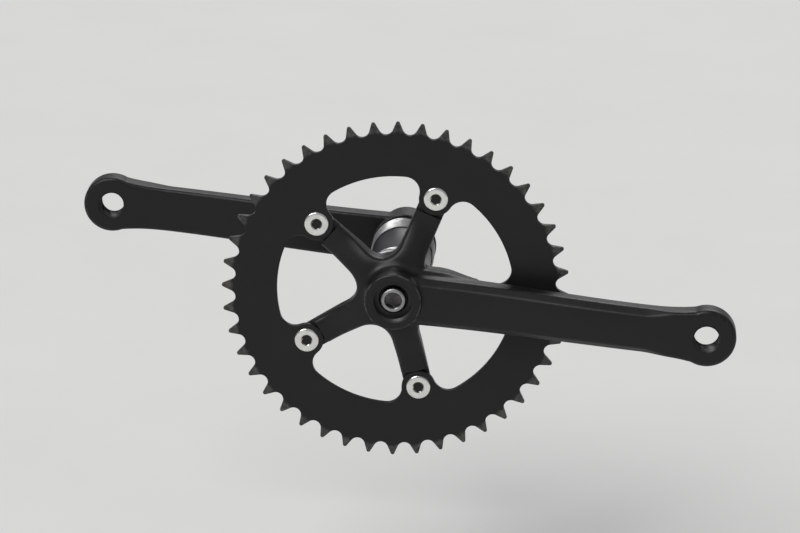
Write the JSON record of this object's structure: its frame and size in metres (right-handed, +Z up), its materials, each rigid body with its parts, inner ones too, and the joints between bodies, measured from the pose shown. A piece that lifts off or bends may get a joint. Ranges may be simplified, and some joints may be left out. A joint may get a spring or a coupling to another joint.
{
  "type": "bicycle crankset",
  "caption": "Single-speed crankset: forged arm with spider, bolted chainring, opposite arm, and a square-taper spindle turning in a threaded cartridge bottom bracket.",
  "frame": {"origin": "centre of the frame's bottom-bracket shell, on the spindle axis", "axes": "+X towards the front wheel, +Z up, spindle along Y with the chainring side at -Y"},
  "size_m": [0.3596, 0.146, 0.1848],
  "materials": {
    "black_arm": "satin black paint over forged aluminium, lightly polished edges",
    "black_ring": "black anodised, machined, worn bare on the tooth flanks",
    "bright_bolt": "bright chrome plate",
    "crank_bolt_steel": "dull zinc-plated steel",
    "washer_steel": "black-oxide steel",
    "spindle_steel": "ground steel",
    "cup_steel": "dark nickel-plated steel",
    "tube_steel": "black painted steel tube",
    "race_steel": "ground and polished bearing steel",
    "ball_steel": "polished bearing steel",
    "cage_polymer": "moulded nylon",
    "seal_rubber": "matt black rubber"
  },
  "bodies": {
    "bottom_bracket": {"cartridge_tube": "tube_steel", "right_cup": "cup_steel", "left_cup": "cup_steel", "right_outer_race": "race_steel", "left_outer_race": "race_steel", "right_bearing_seals": "seal_rubber", "left_bearing_seals": "seal_rubber"},
    "crankset": {"spindle": "spindle_steel", "right_inner_race": "race_steel", "left_inner_race": "race_steel", "right_crank_arm": "black_arm", "left_crank_arm": "black_arm", "chainring": "black_ring", "chainring_bolts": "bright_bolt", "chainring_sleeve_nuts": "bright_bolt", "right_crank_bolt": "crank_bolt_steel", "left_crank_bolt": "crank_bolt_steel", "right_crank_washer": "washer_steel", "left_crank_washer": "washer_steel"},
    "right_ball_set": {"right_bearing_balls": "ball_steel", "right_ball_cage": "cage_polymer"},
    "left_ball_set": {"left_bearing_balls": "ball_steel", "left_ball_cage": "cage_polymer"}
  },
  "joints": [
    {"name": "crank_spin", "type": "hinge", "parent": "bottom_bracket", "child": "crankset", "pos_m": [0, 0, 0], "axis": [0, 1, 0], "continuous": true},
    {"name": "right_ball_spin", "type": "hinge", "parent": "bottom_bracket", "child": "right_ball_set", "pos_m": [0, -0.026, 0], "axis": [0, 1, 0], "continuous": true},
    {"name": "left_ball_spin", "type": "hinge", "parent": "bottom_bracket", "child": "left_ball_set", "pos_m": [0, 0.026, 0], "axis": [0, 1, 0], "continuous": true}
  ],
  "couplings": [
    {"joint": "right_ball_spin", "follows": "crank_spin", "ratio": 0.41557},
    {"joint": "left_ball_spin", "follows": "crank_spin", "ratio": 0.41557}
  ]
}
